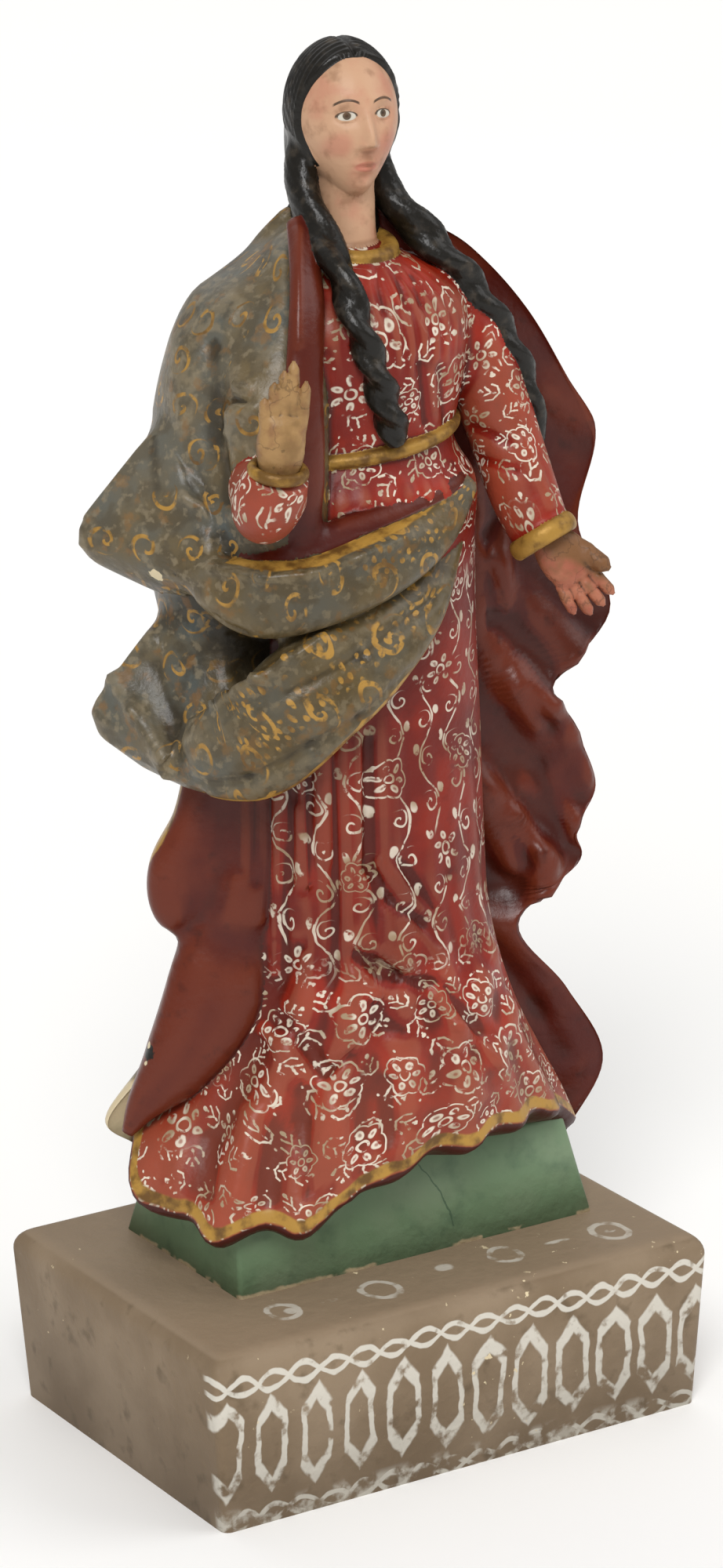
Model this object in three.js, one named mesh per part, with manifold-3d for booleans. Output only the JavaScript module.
// A painted wooden saint: a standing figure in a robe and mantle, carved as one piece, with two hands
// let into the cuffs of its sleeves, on a green ground block and a brown plinth.
// Millimetres, +Z up, the figure faces -Y and its left side is +X.
// The origin is under the middle of the plinth.
// Angles round an upright form are in degrees from the front (-Y), positive towards the figure's left (+X).
import * as THREE from "three";
import { ConvexGeometry } from "three/addons/geometries/ConvexGeometry.js";
import { mergeVertices } from "three/addons/utils/BufferGeometryUtils.js";
import Module from "manifold-3d";

const wasm = await Module();
wasm.setup();

// Driving dimensions
const PLINTH_WIDTH = 474; // at the top edge; the sides lean in towards the foot
const PLINTH_DEPTH = 340;
const PLINTH_HEIGHT = 150;
const PLINTH_FOOT_SHARE = 0.96; // width of the foot over the width at the top
const PLINTH_CORNER = 8; // radius of the upright corners
const PLINTH_EDGE = 18; // radius of the worn top edge
const PLINTH_ROWS = 6;

const BLOCK_LEFT = -155; // foot of the ground block on the plinth
const BLOCK_RIGHT = 185;
const BLOCK_FRONT = -72;
const BLOCK_BACK = 112;
const BLOCK_HEIGHT = 80;
const BLOCK_LEAN_X = 12; // how far its ends lean in
const BLOCK_LEAN_Y = 24; // how far its front and back lean in

const GAP = 0.3; // clearance where one carved piece is let into another
const JOIN_SLIVER = 0.4; // slivers thinner than this along the joins are dropped

const HEM_LOW = 212; // height of the robe's hem, right of the middle
const HEM_LIFT = 46; // how much higher it is towards the left
const HEM_LIFT_MIDDLE = 22; // where it is highest, in degrees from the front
const HEM_LIFT_HALF = 44; // how far the lift reaches to either side, in degrees
const HEM_SCALLOP = 11; // how far the hem dips at each fold
const HEM_SIDE_LIFT = 50; // how much higher the hem is at the figure's right side
const HEM_SIDE_FLARE = 26;
const HEM_SIDE_REACH = 55; // height over which the flare fades
const HEM_SIDE_START = 72; // degrees from the front, towards the right side
const HEM_SIDE_FULL = 104;
const HEM_SIDE_FADE = 120;
const HEM_SIDE_END = 160;
const HEM_LIP = 10; // how far the edge below the hem turns in
const NECK_TOP = 980; // where the robe closes round the neck
const CLOTH_FULLNESS = 1.1; // upright cloth is this much squarer than an oval

// Small tools

const degrees = THREE.MathUtils.degToRad;
const mix = THREE.MathUtils.lerp;
const smooth = (x, low, high) => THREE.MathUtils.smoothstep(x, low, high);
const bump = (x, width) => Math.exp(-((x / width) ** 2));
const vector = (x, y, z) => new THREE.Vector3(x, y, z);
const FRONT = vector(0, -1, 0);

// The columns of a table at some place, on smooth curves through its rows. The first column is the place.
function section(table, place) {
  let i = 0;
  while (i < table.length - 2 && place > table[i + 1][0]) i++;
  const before = table[Math.max(i - 1, 0)];
  const low = table[i];
  const high = table[i + 1];
  const after = table[Math.min(i + 2, table.length - 1)];
  const span = high[0] - low[0];
  const t = THREE.MathUtils.clamp((place - low[0]) / span, 0, 1);
  return low.slice(1).map((value, k) => {
    const rise = ((high[k + 1] - before[k + 1]) / (high[0] - before[0])) * span;
    const fall = ((after[k + 1] - value) / (after[0] - low[0])) * span;
    const change = high[k + 1] - value;
    return value + t * (rise + t * (3 * change - 2 * rise - fall + t * (rise + fall - 2 * change)));
  });
}

// A closed three.js geometry as a solid that can be joined and cut.
function solid(geometry) {
  const bare = geometry.clone();
  bare.deleteAttribute("normal");
  bare.deleteAttribute("uv");
  const merged = mergeVertices(bare, 1e-3);
  return new wasm.Manifold(
    new wasm.Mesh({
      numProp: 3,
      vertProperties: merged.attributes.position.array,
      triVerts: new Uint32Array(merged.index.array),
    }),
  );
}

// A closed tube: a cylinder whose wall is moved to wall(angle, along). Its flat ends follow the wall's rims.
function tube(sides, rows, wall) {
  const geometry = new THREE.CylinderGeometry(1, 1, 1, sides, rows);
  const points = geometry.attributes.position;
  for (let i = 0; i < points.count; i++) {
    const along = points.getY(i) + 0.5;
    const onAxis = Math.hypot(points.getX(i), points.getZ(i)) < 0.5;
    const angle = THREE.MathUtils.radToDeg(Math.atan2(points.getX(i), points.getZ(i)));
    const place = onAxis ? rimMiddle(wall, along) : wall(Math.round(angle * 1e6) / 1e6, along);
    points.setXYZ(i, place.x, place.y, place.z);
  }
  return solid(geometry);
}

function rimMiddle(wall, along) {
  const middle = vector(0, 0, 0);
  for (let quarter = 0; quarter < 4; quarter++) middle.add(wall(quarter * 90 - 90, along));
  return middle.divideScalar(4);
}

// A closed ball whose points, in every direction, are moved to skin(direction).
function ball(sides, rows, skin) {
  const geometry = new THREE.SphereGeometry(1, sides, rows);
  const points = geometry.attributes.position;
  for (let i = 0; i < points.count; i++) {
    const place = skin(vector(points.getX(i), -points.getZ(i), points.getY(i)).normalize());
    points.setXYZ(i, place.x, place.y, place.z);
  }
  return solid(geometry);
}

// A tube along a table of rows [share of length, x, y, z, half width, half depth].
// Half depth is measured along the out direction, and swell(angle, share) scales both.
function limb(sides, rows, table, out, swell = () => 1) {
  const centre = (share) => vector(...section(table, share).slice(0, 3));
  return tube(sides, rows, (angle, share) => {
    const along = centre(Math.min(share + 0.01, 1)).sub(centre(Math.max(share - 0.01, 0))).normalize();
    const back = out.clone().negate().addScaledVector(along, out.dot(along)).normalize();
    const side = back.clone().cross(along);
    const [width, depth] = section(table, share).slice(3);
    const size = swell(angle, share);
    return centre(share)
      .addScaledVector(side, width * size * Math.sin(degrees(angle)))
      .addScaledVector(back, -depth * size * Math.cos(degrees(angle)));
  });
}

// A point on an upright oval, with its corners filled out when fullness is over 1.
function oval(angle, halfWidth, halfDepth, centreX, centreY, z, fullness = 1) {
  const sine = Math.sin(degrees(angle));
  const cosine = Math.cos(degrees(angle));
  const power = 2 * fullness;
  const reach = (Math.abs(sine) ** power + Math.abs(cosine) ** power) ** (-1 / power);
  return vector(centreX + halfWidth * reach * sine, centreY - halfDepth * reach * cosine, z);
}

// Flat faces between some corners.
function wedge(corners) {
  return solid(new ConvexGeometry(corners.map((corner) => vector(...corner))));
}

// The robe, from its hem to the neck: [height, half width, half depth, middle x, middle y]
const ROBE = [
  [205, 198, 127, 0, 6],
  [250, 178, 118, 0, 4],
  [300, 148, 109, 2, 0],
  [345, 124, 103, 3, -2],
  [400, 105, 98, 3, -4],
  [460, 98, 95, 1, -5],
  [740, 98, 90, 0, -6],
  [790, 97, 93, 0, -7],
  [815, 84, 81, 0, -6],
  [829, 80, 77, 0, -6],
  [850, 85, 80, 0, -6],
  [900, 94, 85, 0, -6],
  [930, 97, 80, 0, -4],
  [952, 78, 62, 0, -3],
  [968, 46, 44, 0, -6],
  [NECK_TOP, 22, 22, 0, -6],
];
// Its folds: [angle under the mantle, angle at the hem, rise at each of them, width in degrees]
const ROBE_FOLDS = [
  [-58, -88, 5, 12, 10],
  [-45, -56, 7, 13, 8],
  [-31, -34, 7, 11, 7],
  [-17, -9, 5, 8, 8],
  [2, 11, 1, 10, 7],
  [15, 30, 0, 8, 7],
  [32, 49, 0, 9, 8],
  [55, 72, 2, 9, 10],
];
const FOLD_TOP = 700; // where the folds fade out
const FOLD_FADE = 120;
const FRONT_SPACING = 0.6; // spacing of the robe's corners at the front, against the mean
const ROBE_ROWS = 19;
// Breaks in the cloth over the knee: [angle, z at one end, angle, z at the other, width, rise]
const KNEE_FOLDS = [
  [-22, 440, 26, 380, 20, 6],
  [-38, 390, 8, 320, 20, 6],
  [40, 405, 8, 350, 10, 5],
  [48, 350, 4, 298, 10, 5],
  [22, 300, -16, 262, 9, 4],
];

function ridge(x, z, [x0, z0, x1, z1, width, rise]) {
  const length = Math.hypot(x1 - x0, z1 - z0);
  const along = ((x - x0) * (x1 - x0) + (z - z0) * (z1 - z0)) / length;
  const across = ((x - x0) * (z1 - z0) - (z - z0) * (x1 - x0)) / length;
  const past = Math.max(-along, 0, along - length);
  return rise * bump(across, width) * bump(past, width);
}

function robeFold(angle, z) {
  const down = 1 - smooth(z, HEM_LOW, FOLD_TOP);
  const fade = 1 - smooth(z, FOLD_TOP - FOLD_FADE, FOLD_TOP);
  let rise = 0;
  for (const [top, hem, riseTop, riseHem, width] of ROBE_FOLDS) {
    rise += mix(riseTop, riseHem, down) * fade * bump(angle - mix(top, hem, down), width);
  }
  for (const fold of KNEE_FOLDS) rise += ridge(angle, z, fold);
  return rise;
}

// 1 at the figure's right side, where the hem is turned up.
function hemSide(angle) {
  const start = smooth(-angle, HEM_SIDE_START, HEM_SIDE_FULL);
  return start * (1 - smooth(-angle, HEM_SIDE_FADE, HEM_SIDE_END));
}

function hemHeight(angle) {
  const lift = Math.exp(-(((angle - HEM_LIFT_MIDDLE) / HEM_LIFT_HALF) ** 4));
  let dip = 0;
  for (const [, hem, , riseHem, width] of ROBE_FOLDS) dip += (riseHem / 10) * bump(angle - hem, width);
  return HEM_LOW + HEM_LIFT * lift - HEM_SCALLOP * dip + HEM_SIDE_LIFT * hemSide(angle);
}

function robe() {
  return tube(40, ROBE_ROWS, (angle, along) => {
    const turned = angle * mix(FRONT_SPACING, 1, Math.abs(angle) / 180);
    const row = Math.round(along * ROBE_ROWS); // the first row is the lip under the hem
    const hem = hemHeight(turned);
    const z = row === 0 ? hem : mix(hem + HEM_LIP, NECK_TOP, (row - 1) / (ROBE_ROWS - 1));
    const [width, depth, x, y] = section(ROBE, z);
    const lip = Math.max(1 - (z - hem) / HEM_LIP, 0);
    const flare = HEM_SIDE_FLARE * hemSide(turned) * bump(z - hem, HEM_SIDE_REACH);
    const fold = robeFold(turned, z) + flare - HEM_LIP * lip * lip;
    return oval(turned, width + fold, depth + fold, x, y, z, CLOTH_FULLNESS);
  });
}

// The mantle down the back, as rings from its foot to the neck. Each ring runs from the free edge on the
// figure's left round the back to the edge on its right: [ring, left x, y, z, right x, y, z, y of the back]
const CAPE = [
  [0, 192, -18, 196, -170, 66, 242, 138],
  [1, 228, -26, 262, -203, 50, 275, 136],
  [2, 190, -28, 333, -158, 46, 320, 128],
  [3, 144, -26, 397, -112, 38, 372, 120],
  [4, 203, -28, 440, -108, 26, 402, 116],
  [5, 198, -28, 468, -128, 30, 440, 114],
  [6, 218, -30, 505, -140, 32, 474, 113],
  [7, 196, -28, 560, -126, 28, 515, 112],
  [8, 176, -28, 594, -124, 26, 545, 111],
  [9, 231, -32, 652, -130, 26, 605, 110],
  [10, 201, -30, 728, -136, 26, 690, 109],
  [11, 216, -32, 798, -140, 24, 770, 106],
  [12, 190, -30, 851, -138, 22, 835, 103],
  [13, 157, -28, 906, -126, 18, 895, 98],
  [14, 118, -24, 952, -98, 14, 946, 86],
  [15, 84, -14, 980, -60, 12, 977, 68],
  [16, 24, 6, 1005, -22, 12, 1004, 36],
];
// Folds on the lining at the figure's left: [x and z at one end, x and z at the other, width, rise]
const LINING_RIDGES = [
  [112, 770, 124, 670, 14, 10],
  [128, 705, 205, 612, 18, 11],
  [115, 655, 206, 515, 18, 11],
  [112, 522, 172, 443, 20, 14],
  [172, 443, 165, 410, 14, 10],
  [160, 512, 206, 466, 11, 6],
  [132, 390, 200, 265, 26, 8],
];
const LINING_HOLLOW = 0.12; // how far the lining hollows in, as a share of the mantle's depth
const CAPE_PLEATS = 9; // folds down the back
const PLEAT_DEPTH = 5;
const BACK_ROUNDNESS = 0.85; // under 1, the back is fuller than an oval
const EDGE_BAND = 0.55; // how far round the back the wavy edge can be seen

// The mantle's edges, evened out along its length, as they carry on across the back
function calmEdges(ring) {
  const rows = [-2, -1, 0, 1, 2].map((step) => {
    return section(CAPE, THREE.MathUtils.clamp(ring + step, 0, CAPE.length - 1));
  });
  const mean = (column) => rows.reduce((sum, row) => sum + row[column], 0) / rows.length;
  return [mean(0), mean(3)];
}

function cape() {
  const rings = CAPE.length - 1;
  return tube(30, 2 * rings, (angle, along) => {
    const [leftX, leftY, leftZ, rightX, rightY, rightZ, back] = section(CAPE, along * rings);
    const across = (1 + Math.sin(degrees(angle))) / 2; // 1 at the left edge, 0 at the right one
    const front = Math.cos(degrees(angle)); // over 0 on the lining, under 0 on the back
    const x = mix(rightX, leftX, across);
    const z = mix(rightZ, leftZ, across);
    const edge = mix(rightY, leftY, across);
    if (front > 0) {
      const fold = LINING_RIDGES.reduce((sum, sizes) => sum + ridge(x, z, sizes), 0) * smooth(front, 0, 0.3);
      return vector(x, edge + LINING_HOLLOW * (back - edge) * front - fold, z);
    }
    const [calmLeft, calmRight] = calmEdges(along * rings);
    const calmX = mix(x, mix(calmRight, calmLeft, across), smooth(-front, 0, EDGE_BAND));
    const fade = smooth(-front, 0.2, 0.6) * (1 - along);
    const pleat = PLEAT_DEPTH * Math.cos(degrees(angle * CAPE_PLEATS)) * fade;
    return vector(calmX, edge + (back - edge) * (-front) ** BACK_ROUNDNESS + pleat, z);
  });
}

// The mantle over the right arm, its front part over the forearm, and where it is gathered under them:
// [height, half width, half depth, middle x, middle y]
const ARM = [
  [690, 44, 64, -106, 20],
  [770, 46, 66, -110, 18],
  [832, 44, 62, -108, 18],
  [892, 42, 58, -97, 17],
  [939, 38, 50, -80, 16],
  [962, 33, 40, -54, 14],
  [992, 15, 17, -22, 14],
];
const FOREARM_DRAPE = [
  [690, 42, 44, -98, -44],
  [790, 46, 50, -100, -44],
  [850, 44, 46, -94, -42],
  [905, 38, 40, -80, -34],
  [955, 28, 32, -56, -16],
  [995, 16, 18, -38, 0],
];
const GATHERED = [
  [560, 48, 46, -90, 20],
  [620, 60, 50, -92, 16],
  [720, 64, 52, -92, 14],
  [810, 52, 54, -100, 14],
];

function upright(sides, rows, table) {
  const foot = table[0][0];
  const top = table[table.length - 1][0];
  return tube(sides, rows, (angle, along) => {
    const z = mix(foot, top, along);
    return oval(angle, ...section(table, z), z, CLOTH_FULLNESS);
  });
}

// Swags, wings and loose folds of the mantle: [share of length, x, y, z, half width, half thickness]
const UPPER_SWAG = [
  [0, -150, -22, 744, 10, 14],
  [0.12, -146, -54, 737, 23, 22],
  [0.28, -127, -80, 729, 31, 25],
  [0.5, -90, -100, 732, 28, 25],
  [0.72, -32, -104, 747, 26, 24],
  [0.9, 24, -90, 765, 19, 20],
  [1, 68, -74, 790, 7, 9],
];
const LOWER_SWAG = [
  [0, -148, -22, 600, 14, 6],
  [0.12, -158, -44, 600, 31, 19],
  [0.3, -138, -66, 606, 42, 28],
  [0.42, -122, -82, 617, 43, 28],
  [0.6, -96, -100, 648, 44, 28],
  [0.78, -49, -102, 675, 38, 27],
  [0.91, 10, -90, 706, 22, 22],
  [1, 58, -72, 752, 6, 8],
];
// Corners of the two points of cloth at the right side
const UPPER_WING = [
  [-218, 46, 772],
  [-219, 46, 757],
  [-210, 46, 745],
  [-203, 48, 785],
  [-178, 40, 807],
  [-162, 26, 834],
  [-148, 22, 858],
  [-173, 0, 805],
  [-161, -24, 801],
  [-143, -50, 787],
  [-172, -42, 743],
  [-160, -62, 754],
  [-192, 40, 734],
  [-170, 20, 727],
  [-166, -4, 718],
  [-158, -42, 722],
  [-110, 70, 740],
  [-110, 70, 850],
  [-100, -40, 770],
  [-105, -60, 745],
  [-180, 66, 760],
];
const LOWER_WING = [
  [-212, 46, 622],
  [-206, 43, 600],
  [-190, 46, 645],
  [-171, 24, 684],
  [-153, 18, 704],
  [-184, -8, 612],
  [-182, -32, 589],
  [-174, -46, 576],
  [-186, 16, 580],
  [-158, -52, 564],
  [-110, -44, 575],
  [-110, 60, 590],
  [-130, -46, 638],
  [-122, -22, 692],
  [-110, 70, 700],
  [-185, 68, 622],
];
// Folds that hang below them: [share of length, x, y, z, half width, half thickness]
const OUTER_LEAF = [
  [0, -126, 6, 575, 20, 20],
  [0.3, -138, 8, 530, 20, 21],
  [0.6, -148, 12, 488, 30, 22],
  [0.82, -150, 12, 456, 26, 20],
  [1, -149, 8, 434, 9, 9],
];
const INNER_LEAF = [
  [0, -106, -14, 575, 24, 20],
  [0.5, -110, -14, 500, 26, 22],
  [0.85, -118, -10, 446, 27, 22],
  [1, -122, -8, 420, 14, 9],
];
const LOWER_LEAF = [
  [0, -118, 0, 458, 28, 20],
  [0.14, -124, -2, 424, 36, 24],
  [0.34, -134, -2, 383, 40, 26],
  [0.62, -162, 8, 331, 29, 23],
  [0.85, -187, 20, 296, 14, 14],
  [1, -199, 26, 272, 5, 6],
];
const TOWARDS_VIEWER = vector(-0.5, -0.85, 0);
const CLOTH_LEAN = 0.06; // how much further the upper ridge of a fold stands out

// Folded cloth has a fuller section than a round: broad faces with soft ridges between them.
function clothSection(angle) {
  const sine = Math.abs(Math.sin(degrees(angle)));
  const cosine = Math.abs(Math.cos(degrees(angle)));
  const lean = 1 + CLOTH_LEAN * Math.cos(degrees(angle + 50));
  return lean * (sine ** 3 + cosine ** 3) ** (-1 / 3);
}

// Sleeves: [share of length, x, y, z, half width, half depth]
const LEFT_SLEEVE = [
  [0, 68, -4, 942, 36, 38],
  [0.3, 98, -28, 890, 31, 34],
  [0.6, 114, -46, 830, 28, 30],
  [0.85, 124, -67, 772, 27, 28],
  [1, 129, -84, 742, 24, 24],
];
const RIGHT_SLEEVE = [
  [0, -116, -70, 812, 30, 28],
  [0.4, -134, -104, 808, 30, 26],
  [0.75, -142, -122, 818, 29, 26],
  [1, -141, -132, 838, 24, 24],
];

// A rounded band that stands round a neck, waist or wrist
function band(centre, halfWidth, halfDepth, axis, thick, tall) {
  const ring = new THREE.TorusGeometry(1, 0.5, 5, 16);
  const points = ring.attributes.position;
  const turn = new THREE.Quaternion().setFromUnitVectors(vector(0, 0, 1), axis.clone().normalize());
  for (let i = 0; i < points.count; i++) {
    const angle = Math.atan2(points.getY(i), points.getX(i));
    const out = 2 * thick * (Math.hypot(points.getX(i), points.getY(i)) - 1);
    const place = vector(
      (halfWidth + out) * Math.cos(angle),
      (halfDepth + out) * Math.sin(angle),
      2 * tall * points.getZ(i),
    );
    place.applyQuaternion(turn).add(centre);
    points.setXYZ(i, place.x, place.y, place.z);
  }
  return solid(ring);
}

// The head, leaning back, in a frame with its origin in the middle of the head
const HEAD_MIDDLE = vector(0, -4, 1079);
const HEAD_LEAN = new THREE.Euler(degrees(-10), 0, degrees(-9));
const HEAD_HALF_WIDTH = 41;
const HEAD_HALF_DEPTH = 50;
const HEAD_ABOVE = 55; // from the middle to the top of the skull
const HEAD_BELOW = 68; // from the middle to the chin
const HAIR_THICK = 3.5;
const HAIRLINE_TOP = 42; // height of the hairline over the middle of the head
const HAIRLINE_SIDE = 78; // angle from the front where the hair starts beside the eyes
const EYE_ASIDE = 15;
const EYE_HEIGHT = -3;
const BROW_HEIGHT = 8;
const NOSE_TIP = -25;
const MOUTH_HEIGHT = -42;
const CHIN_HEIGHT = -58;
const NOSE_RISE = 11;
const BROW_RISE = 2.2;
const SOCKET_DEPTH = 4;
const LIP_RISE = 3;
const CHIN_RISE = 4;
const JAW_NARROWS = 0.34; // how much narrower the head is at the chin
const PARTING_DEPTH = 2.2;
const TEMPLE_DROP = 10; // the hairline turns down this far below the eyes
const HAIR_SLOPE = 0.7; // millimetres for a degree round the head

const onHead = (place) => place.applyEuler(HEAD_LEAN).add(HEAD_MIDDLE);

// How far the face stands out from a plain egg
function faceRelief(x, z) {
  const aside = Math.abs(x) - EYE_ASIDE;
  const bridge = smooth(-z, -BROW_HEIGHT, -NOSE_TIP) * (1 - smooth(-z, 2 - NOSE_TIP, 9 - NOSE_TIP));
  const nose = NOSE_RISE * bump(x, 7) * bridge;
  const brow = BROW_RISE * bump(z - BROW_HEIGHT, 5) * bump(aside, 11);
  const socket = SOCKET_DEPTH * bump(z - EYE_HEIGHT, 6) * bump(aside, 8);
  const lips = LIP_RISE * bump(z - MOUTH_HEIGHT, 5) * bump(x, 9);
  const chin = CHIN_RISE * bump(z - CHIN_HEIGHT, 6) * bump(x, 9);
  return nose + brow - socket + lips + chin;
}

// How far a point lies inside the hair, which is parted in the middle
function pastHairline(turned, z) {
  const over = Math.max(z + TEMPLE_DROP, 0) / (HAIRLINE_TOP + TEMPLE_DROP);
  const start = HAIRLINE_SIDE * Math.sqrt(Math.max(1 - over * over, 0));
  return Math.max((Math.abs(turned) - start) * HAIR_SLOPE, z - HAIRLINE_TOP);
}

function head() {
  return ball(20, 16, (direction) => {
    const jaw = 1 - JAW_NARROWS * smooth(-direction.z, 0.1, 1);
    const height = direction.z > 0 ? HEAD_ABOVE : HEAD_BELOW;
    const place = vector(HEAD_HALF_WIDTH * jaw, HEAD_HALF_DEPTH, height).multiply(direction);
    const onAxis = Math.hypot(direction.x, direction.y) < 1e-6;
    const turned = onAxis ? 0 : THREE.MathUtils.radToDeg(Math.atan2(direction.x, -direction.y));
    const hair = HAIR_THICK * smooth(pastHairline(turned, place.z), 0, 3);
    const parting = PARTING_DEPTH * bump(place.x, 4) * smooth(place.z, 20, 40);
    place.y -= smooth(-direction.y, 0.15, 0.55) * faceRelief(place.x, place.z);
    return onHead(place.addScaledVector(direction, hair - parting));
  });
}

const NECK = [
  [0, 0, -6, 955, 28, 28],
  [0.35, 0, -6, 990, 23, 24],
  [1, 0, -6, 1050, 23, 25],
];

// The fall of hair behind the neck: [height, half width, half depth, middle x, middle y]
const HAIR_FALL = [
  [955, 44, 24, 1, 9],
  [993, 36, 27, 1, 13],
  [1020, 33, 27, 0, 17],
  [1050, 34, 31, 0, 18],
  [1080, 32, 30, 0, 18],
  [1105, 20, 20, 0, 16],
];

// Braids: [share of length, x, y, z, half width, half depth]
const RIGHT_BRAID = [
  [0, -28, 8, 1075, 9, 12],
  [0.13, -36, 0, 1032, 12, 15],
  [0.22, -38, -20, 1000, 13, 15],
  [0.33, -41, -62, 970, 12, 12],
  [0.48, -41, -86, 936, 11, 11],
  [0.68, -30, -95, 896, 11, 11],
  [0.88, -18, -94, 860, 12, 11],
  [1, -9, -92, 838, 9, 9],
];
const LEFT_BRAID = [
  [0, 28, 8, 1072, 9, 12],
  [0.14, 39, -2, 1015, 13, 15],
  [0.3, 62, -30, 976, 13, 13],
  [0.47, 92, -42, 938, 12, 12],
  [0.69, 122, -50, 889, 11, 11],
  [0.87, 139, -52, 847, 10, 10],
  [1, 149, -50, 808, 7, 7],
];
const BRAID_TWISTS = 6; // lumps along a braid
const BRAID_LUMP = 0.2;

function braid(table) {
  return limb(6, 24, table, FRONT, (angle, share) => {
    const turn = 360 * BRAID_TWISTS * share + 2 * angle;
    return 1 + BRAID_LUMP * Math.sin(degrees(turn)) * smooth(share, 0.1, 0.3);
  });
}

// The turned edge of the mantle down the chest, and the turned lining above the upper swag
const LAPEL = [
  [0, -46, -14, 1000, 12, 9],
  [0.25, -70, -62, 955, 15, 9],
  [0.55, -87, -84, 890, 16, 9],
  [0.8, -92, -92, 820, 16, 9],
  [1, -96, -90, 745, 13, 9],
];
const LINING_ROLL = [
  [0, -150, -60, 744, 12, 13],
  [0.2, -122, -82, 750, 17, 15],
  [0.45, -72, -90, 764, 17, 14],
  [0.7, -8, -92, 779, 15, 12],
  [0.88, 42, -82, 792, 10, 10],
  [1, 70, -64, 798, 5, 5],
];

// Collar, belt and cuffs: [middle, half width, half depth, axis, half thickness, half height]
const BANDS = [
  [vector(1, -10, 977), 31, 33, vector(0, -0.2, 1), 7, 7],
  [vector(0, -6, 828), 82, 79, vector(-0.12, 0, 1), 7, 6],
  [vector(-141, -133, 841), 20, 19, vector(0.05, -0.2, 1), 4, 5],
  [vector(130, -85, 740), 24, 24, vector(0.3, -0.47, -0.83), 5, 8],
];

// Hands: a palm and five fingers on an axis that points from the wrist to the fingertips.
// Each finger: [sideways and along at its root, sideways, along and forward at its tip, radius]
const RAISED_FINGERS = [
  [-13, 34, -15, 60, -2, 4.6],
  [-6, 38, -8, 72, -2, 5],
  [1, 40, -1, 81, -2, 5],
  [8, 42, 6, 88, -1, 5],
  [14, 22, 15, 74, -7, 5],
];
const LOWERED_FINGERS = [
  [-12, 36, -19, 71, -4, 5.4],
  [-4, 40, -7, 74, -5, 5.3],
  [4.5, 40, 6, 74, -5, 5.2],
  [12, 36, 17, 66, -4, 4.8],
  [-10, 10, -25, 51, -12, 8.4],
];
const PALM_HALF_WIDTH = 18;
const PALM_HALF_DEPTH = 11;
const PALM_LENGTH = 46;
const WRIST_SHARE = 0.62; // width of the wrist over the palm's
const PALM_SWELL = 0.42;
const PALM_FULLNESS = 1.2;
const FINGER_BEND = 0.55; // where a finger's middle joint is, as a share of its length
const FINGER_BOW = 0.35; // how far forward that joint is, as a share of the tip's way
const FINGER_TAPER = 0.8;
// Where each wrist starts, which way its fingers point and which way its palm faces
const RAISED_PLACE = placement(vector(-140, -133, 838), vector(0.05, -0.06, 1), vector(-0.3, -1, 0));
const LOWERED_PLACE = placement(vector(132, -86, 742), vector(0.42, -0.32, -0.85), vector(-0.3, -1, 0.3));

function placement(origin, fingers, palm) {
  const along = fingers.clone().normalize();
  const back = palm.clone().negate().addScaledVector(along, palm.dot(along)).normalize();
  const side = back.clone().cross(along);
  return new THREE.Matrix4().makeBasis(side, back, along).setPosition(origin);
}

// Grown by a gap, a hand cuts its own socket in the cuff.
function hand(fingers, place, grow) {
  let made = tube(10, 5, (angle, along) => {
    const fill = WRIST_SHARE + PALM_SWELL * Math.sin(Math.PI * Math.min(along * 0.75 + 0.12, 1));
    const z = mix(-grow, PALM_LENGTH + grow, along);
    return oval(angle, PALM_HALF_WIDTH * fill + grow, PALM_HALF_DEPTH * fill + grow, 0, 0, z, PALM_FULLNESS);
  });
  const roundTip = (angle, share) => Math.sqrt(1 - 0.75 * smooth(share, 0.8, 1));
  for (const [rootX, rootZ, tipX, tipZ, tipY, radius] of fingers) {
    const thick = radius + grow;
    const jointX = mix(rootX, tipX, FINGER_BEND);
    const jointZ = mix(rootZ, tipZ, FINGER_BEND);
    const table = [
      [0, rootX, 0, rootZ, thick, thick],
      [FINGER_BEND, jointX, tipY * FINGER_BOW, jointZ, thick, thick],
      [1, tipX, tipY, tipZ, FINGER_TAPER * thick, FINGER_TAPER * thick],
    ];
    made = made.add(limb(6, 3, table, FRONT, roundTip));
  }
  return made.transform(place.elements);
}

// A point on a level rectangle with rounded corners, from the middle of its front round to its left side
function roundedRectangle(angle, halfWidth, halfDepth, radius, z) {
  const quarter = Math.floor(angle / 90);
  const turn = angle / 90 - quarter;
  const arc = degrees(90 * (quarter + THREE.MathUtils.clamp(1.5 * turn - 0.25, 0, 1)));
  const before = Math.max(1 - 6 * turn, 0); // 1 in the middle of the side before the corner
  const after = Math.max(6 * turn - 5, 0); // 1 in the middle of the side after it
  const [inX, inY] = quarter % 2 === 0 ? [before, after] : [after, before];
  const corner = degrees(90 * quarter + 45);
  const x = Math.sign(Math.sin(corner)) * (halfWidth - radius) + radius * Math.sin(arc);
  const y = -Math.sign(Math.cos(corner)) * (halfDepth - radius) - radius * Math.cos(arc);
  return vector(x * (1 - inX), y * (1 - inY), z);
}

// The plinth: a block with crisp upright corners and a worn top edge. Its first row is the foot, the others
// go round the worn edge.
function plinth() {
  return tube(24, PLINTH_ROWS, (angle, along) => {
    const row = Math.round(along * PLINTH_ROWS);
    const round = ((Math.PI / 2) * Math.max(row - 1, 0)) / (PLINTH_ROWS - 1);
    const z = row === 0 ? 0 : PLINTH_HEIGHT - PLINTH_EDGE * (1 - Math.sin(round));
    const share = mix(PLINTH_FOOT_SHARE, 1, z / PLINTH_HEIGHT) / 2;
    const inset = PLINTH_EDGE * (1 - Math.cos(round));
    const halfWidth = PLINTH_WIDTH * share - inset;
    const halfDepth = PLINTH_DEPTH * share - inset;
    return roundedRectangle(angle, halfWidth, halfDepth, PLINTH_CORNER, z);
  });
}

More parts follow.
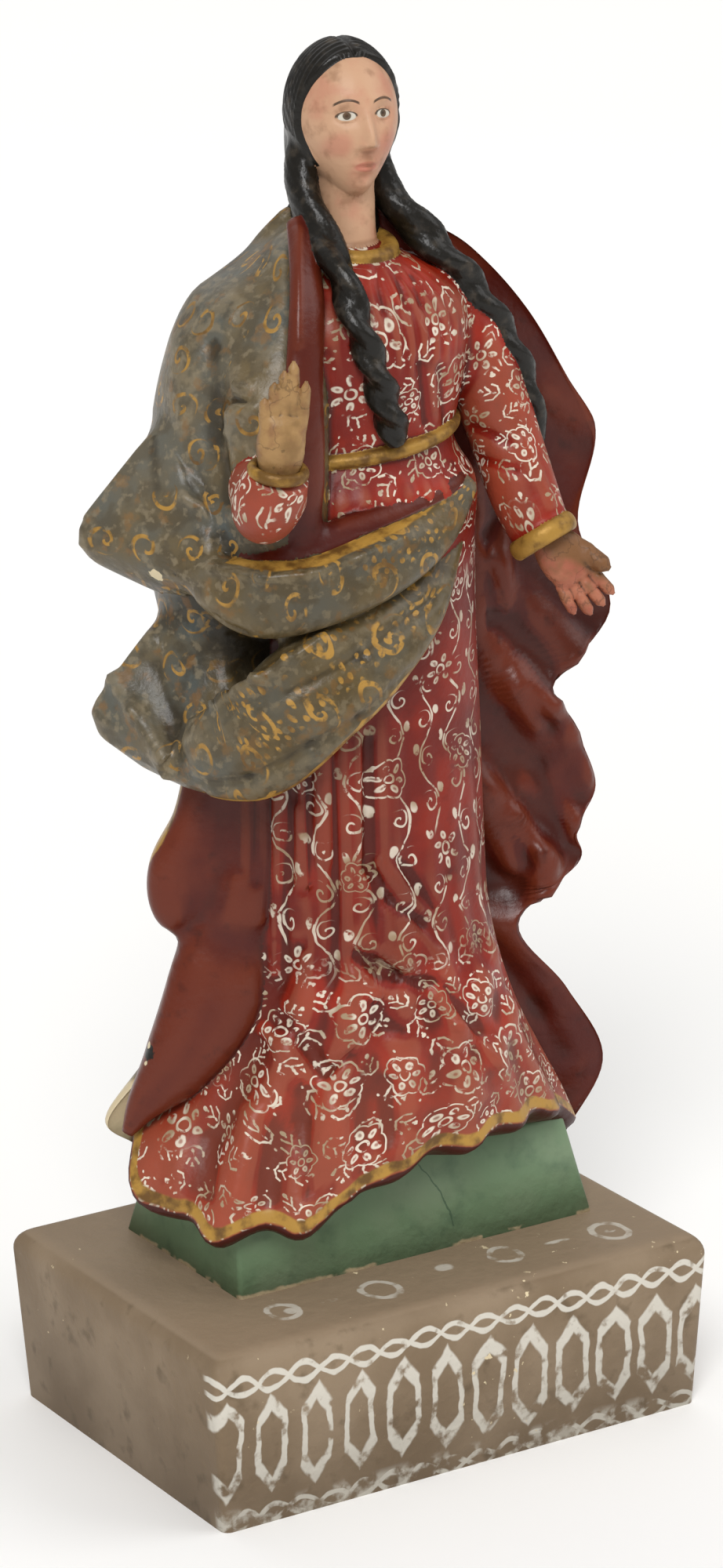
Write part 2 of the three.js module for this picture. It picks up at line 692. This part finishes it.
// The ground block: a box whose sides lean in. Grown by a gap, it cuts the seat under the robe.
function groundBlock(grow) {
  const box = new THREE.BoxGeometry(1, 1, 1);
  const points = box.attributes.position;
  for (let i = 0; i < points.count; i++) {
    const top = points.getZ(i) > 0 ? 1 : 0;
    const inX = top * BLOCK_LEAN_X - grow;
    const inY = top * BLOCK_LEAN_Y - grow;
    const x = points.getX(i) > 0 ? BLOCK_RIGHT - inX : BLOCK_LEFT + inX;
    const y = points.getY(i) > 0 ? BLOCK_BACK - inY : BLOCK_FRONT + inY;
    points.setXYZ(i, x, y, PLINTH_HEIGHT + top * (BLOCK_HEIGHT + grow));
  }
  return solid(box);
}

// Assembly
const forms = [
  robe(),
  cape(),
  upright(18, 7, ARM),
  upright(14, 6, FOREARM_DRAPE),
  upright(14, 4, GATHERED),
  limb(12, 12, UPPER_SWAG, TOWARDS_VIEWER, clothSection),
  limb(12, 14, LOWER_SWAG, TOWARDS_VIEWER, clothSection),
  ...[UPPER_WING, LOWER_WING].map((wing) => wedge(wing)),
  ...[OUTER_LEAF, INNER_LEAF, LOWER_LEAF].map((leaf) => limb(10, 5, leaf, TOWARDS_VIEWER, clothSection)),
  limb(10, 6, LEFT_SLEEVE, FRONT),
  limb(10, 5, RIGHT_SLEEVE, FRONT),
  limb(8, 6, LAPEL, FRONT),
  limb(8, 6, LINING_ROLL, FRONT),
  head(),
  upright(14, 4, HAIR_FALL),
  limb(10, 2, NECK, FRONT),
  braid(RIGHT_BRAID),
  braid(LEFT_BRAID),
  ...BANDS.map((sizes) => band(...sizes)),
];
// Only the outer skin counts: hollows shut in between overlapping forms are solid wood.
const carved = forms
  .reduce((whole, form) => whole.add(form))
  .decompose()
  .reduce((largest, part) => (part.volume() > largest.volume() ? part : largest));

const raisedHand = hand(RAISED_FINGERS, RAISED_PLACE, 0);
const loweredHand = hand(LOWERED_FINGERS, LOWERED_PLACE, 0);
const figure = carved
  .subtract(groundBlock(GAP))
  .subtract(hand(RAISED_FINGERS, RAISED_PLACE, GAP))
  .subtract(hand(LOWERED_FINGERS, LOWERED_PLACE, GAP))
  .simplify(JOIN_SLIVER);

const pieces = [
  ["plinth", plinth(), { color: 0x6f6053, roughness: 0.8 }],
  ["ground_block", groundBlock(0), { color: 0x4d6a55, roughness: 0.7 }],
  ["figure", figure, { color: 0x8d3a2e, roughness: 0.55 }],
  ["raised_hand", raisedHand, { color: 0xb08d68, roughness: 0.6 }],
  ["lowered_hand", loweredHand, { color: 0xc08d70, roughness: 0.6 }],
];

const statue = new THREE.Group();
for (const [name, form, finish] of pieces) {
  const { vertProperties, triVerts } = form.getMesh();
  const geometry = new THREE.BufferGeometry();
  geometry.setAttribute("position", new THREE.BufferAttribute(new Float32Array(vertProperties), 3));
  geometry.setIndex(new THREE.BufferAttribute(new Uint32Array(triVerts), 1));
  geometry.computeVertexNormals();
  const mesh = new THREE.Mesh(geometry, new THREE.MeshStandardMaterial({ metalness: 0, ...finish }));
  mesh.name = name;
  statue.add(mesh);
}

export default statue;
